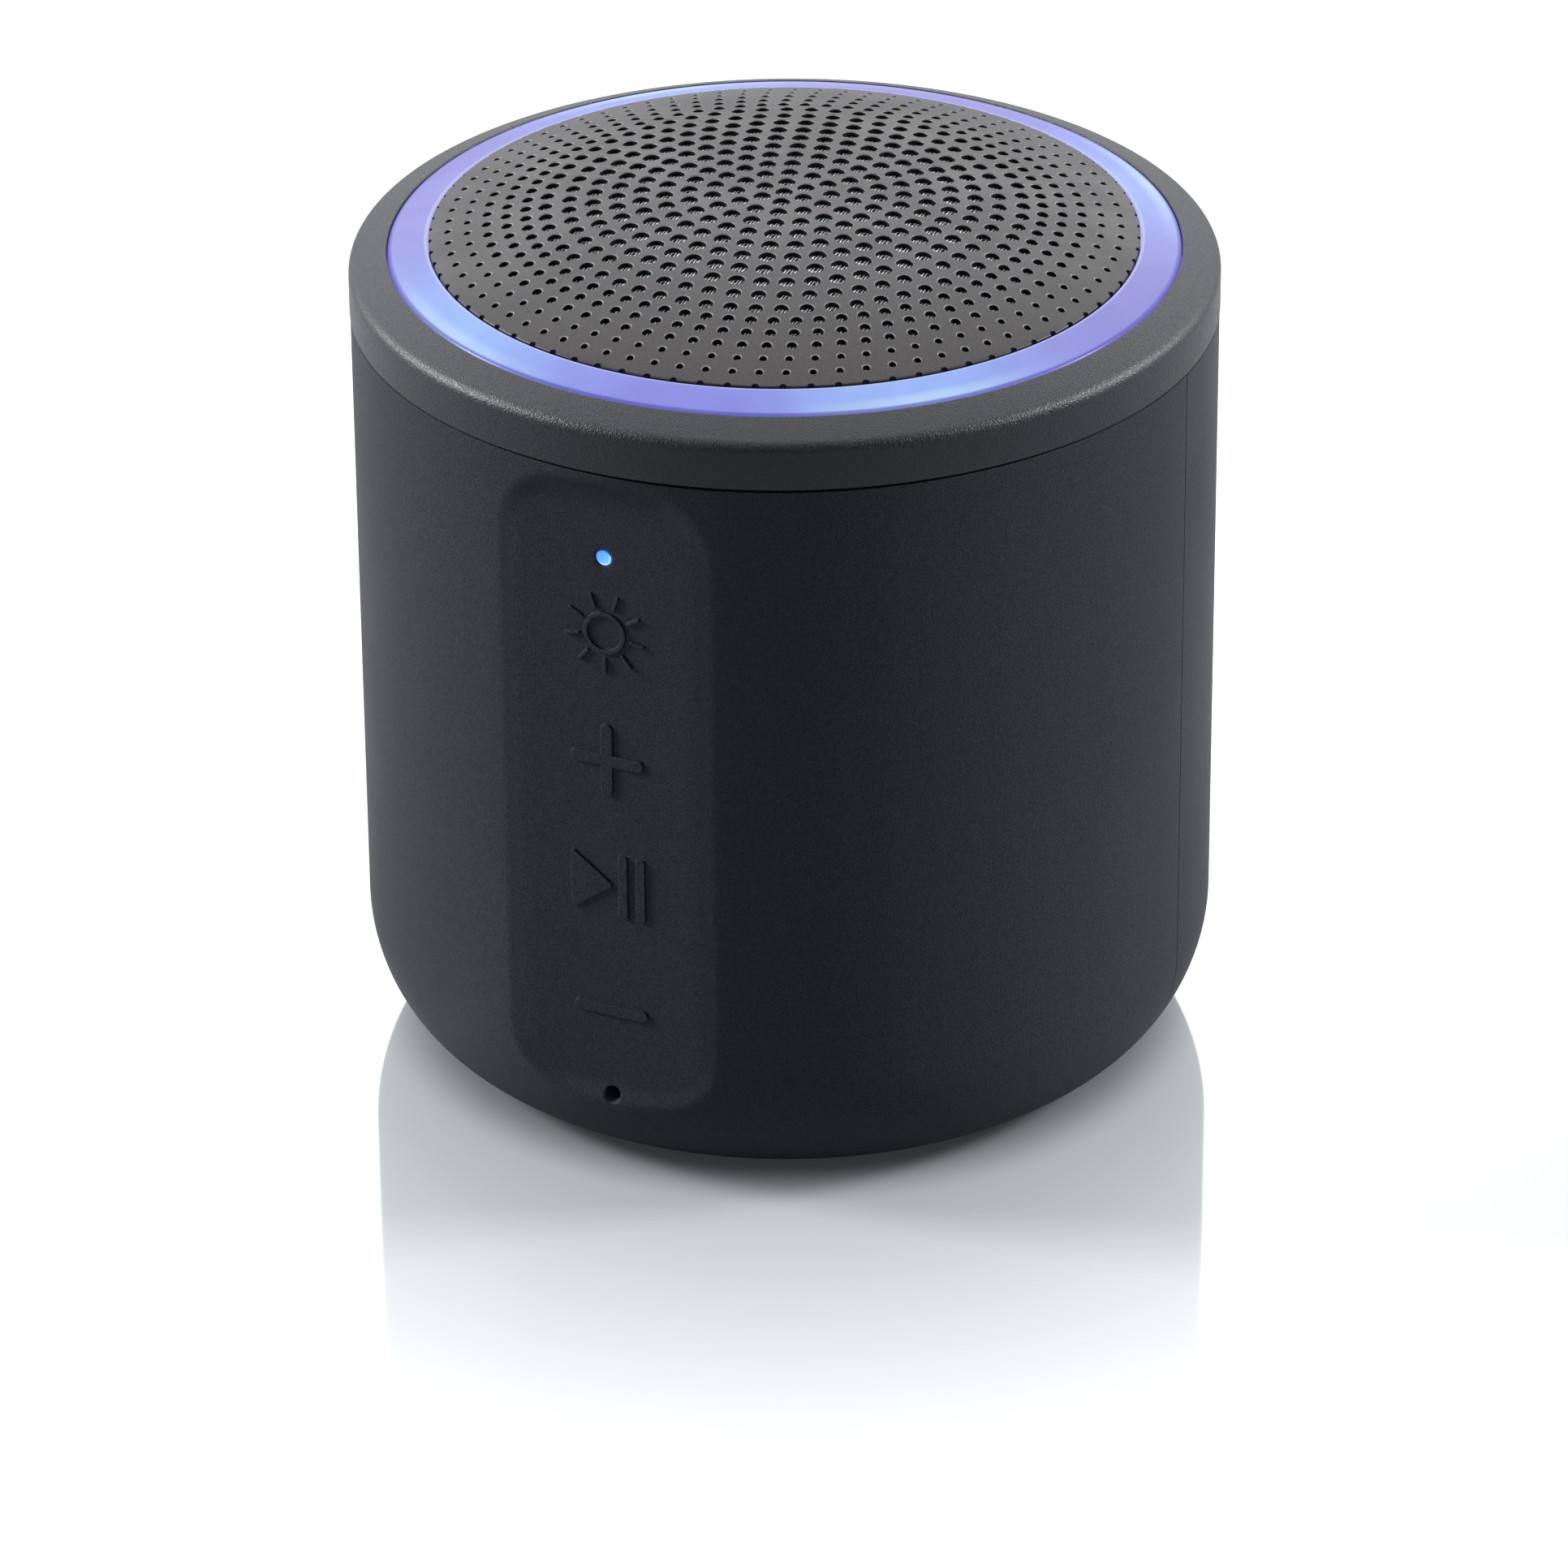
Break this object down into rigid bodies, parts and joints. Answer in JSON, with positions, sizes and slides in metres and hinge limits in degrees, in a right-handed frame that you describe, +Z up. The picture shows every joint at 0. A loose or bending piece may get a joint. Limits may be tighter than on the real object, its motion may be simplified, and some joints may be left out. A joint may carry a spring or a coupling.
{
  "type": "portable bluetooth loudspeaker",
  "caption": "Compact cylindrical wireless loudspeaker with a domed perforated grille, a lit ring round it, raised control keys on a flat front panel and sockets at the back.",
  "frame": {"origin": "centre of the base, on the surface that the rubber foot stands on", "axes": "+Z up along the cylinder's axis; the flat control panel faces -Y, the sockets face +Y, and the shells part at +X and -X"},
  "size_m": [0.0752, 0.0752, 0.0788],
  "materials": {
    "soft_touch": "soft-touch charcoal coat with a fine grain",
    "key_rubber": "soft-touch, the same charcoal as the shell",
    "bezel_coat": "satin blue-grey, fine texture",
    "grille_paint": "satin powder coat",
    "grille_cloth": "fine woven screen",
    "light_guide": "translucent, lit from below",
    "indicator_lens": "clear blue-lit lens",
    "foot_rubber": "moulded anti-slip rubber",
    "inner_plastic": "black ABS, moulded",
    "board": "green solder mask",
    "board_white": "white solder mask",
    "chip": "black epoxy",
    "led_package": "white package with a yellow window",
    "connector": "natural nylon",
    "plated_steel": "zinc-plated",
    "screw_steel": "black-zinc steel",
    "jack_metal": "nickel-plated",
    "basket_paint": "black e-coat",
    "ferrite": "sintered ferrite",
    "cone_paper": "pressed black paper",
    "surround_rubber": "thin butyl rubber",
    "spider_cloth": "resin-treated cotton",
    "former_foil": "thin aluminium foil",
    "copper_wire": "enamelled copper winding",
    "lead_sleeve": "silicone-covered wire",
    "cell_sleeve": "shrink sleeve",
    "foam": "black foam",
    "capacitor_can": "bare aluminium can"
  },
  "bodies": {
    "housing": {"front_shell": "soft_touch", "rear_shell": "soft_touch", "bottom_cover": "inner_plastic", "foot_pad": "foot_rubber", "base_screws": "screw_steel", "bezel": "bezel_coat", "light_guide_ring": "light_guide", "grille": "grille_paint", "grille_cloth": "grille_cloth", "baffle": "inner_plastic", "baffle_screws": "screw_steel", "led_ring_board": "board_white", "ring_leds": "led_package", "ring_ribbon": "connector", "key_switches": "plated_steel", "key_board": "board", "key_board_screws": "screw_steel", "led_light_pipe": "indicator_lens", "status_led": "led_package", "mic_capsule": "plated_steel", "mic_boot": "foot_rubber", "driver_gasket": "foam", "driver_basket": "basket_paint", "driver_screws": "screw_steel", "surround": "surround_rubber", "spider": "spider_cloth", "top_plate": "plated_steel", "magnet": "ferrite", "yoke": "plated_steel", "driver_terminals": "copper_wire", "speaker_leads": "lead_sleeve", "battery_cell": "cell_sleeve", "battery_tabs": "plated_steel", "battery_foam": "foam", "chassis": "inner_plastic", "main_board": "board", "board_screws": "screw_steel", "bluetooth_module": "plated_steel", "board_chips": "chip", "power_inductors": "ferrite", "capacitors": "capacitor_can", "lead_connector": "connector", "board_link": "connector", "usb_jack": "jack_metal", "aux_jack": "chip"},
    "light_button": {"light_key": "key_rubber", "light_plunger": "connector"},
    "plus_button": {"plus_key": "key_rubber", "plus_plunger": "connector"},
    "play_pause_button": {"play_pause_key": "key_rubber", "play_pause_plunger": "connector"},
    "minus_button": {"minus_key": "key_rubber", "minus_plunger": "connector"},
    "moving_cone": {"cone": "cone_paper", "dust_cap": "cone_paper", "coil_former": "former_foil", "voice_coil": "copper_wire"}
  },
  "joints": [
    {"name": "light_press", "type": "slide", "parent": "housing", "child": "light_button", "axis": [0, 1, 0], "range_m": [0, 0.0003], "stiffness_N_per_m": 6000, "springref_m": -0.00002},
    {"name": "plus_press", "type": "slide", "parent": "housing", "child": "plus_button", "axis": [0, 1, 0], "range_m": [0, 0.0003], "stiffness_N_per_m": 6000, "springref_m": -0.00002},
    {"name": "play_pause_press", "type": "slide", "parent": "housing", "child": "play_pause_button", "axis": [0, 1, 0], "range_m": [0, 0.0003], "stiffness_N_per_m": 6000, "springref_m": -0.00002},
    {"name": "minus_press", "type": "slide", "parent": "housing", "child": "minus_button", "axis": [0, 1, 0], "range_m": [0, 0.0003], "stiffness_N_per_m": 6000, "springref_m": -0.00002},
    {"name": "cone_excursion", "type": "slide", "parent": "housing", "child": "moving_cone", "axis": [0, 0, 1], "range_m": [-0.0015, 0.0015], "stiffness_N_per_m": 2600, "deforming": ["surround", "spider"]}
  ]
}
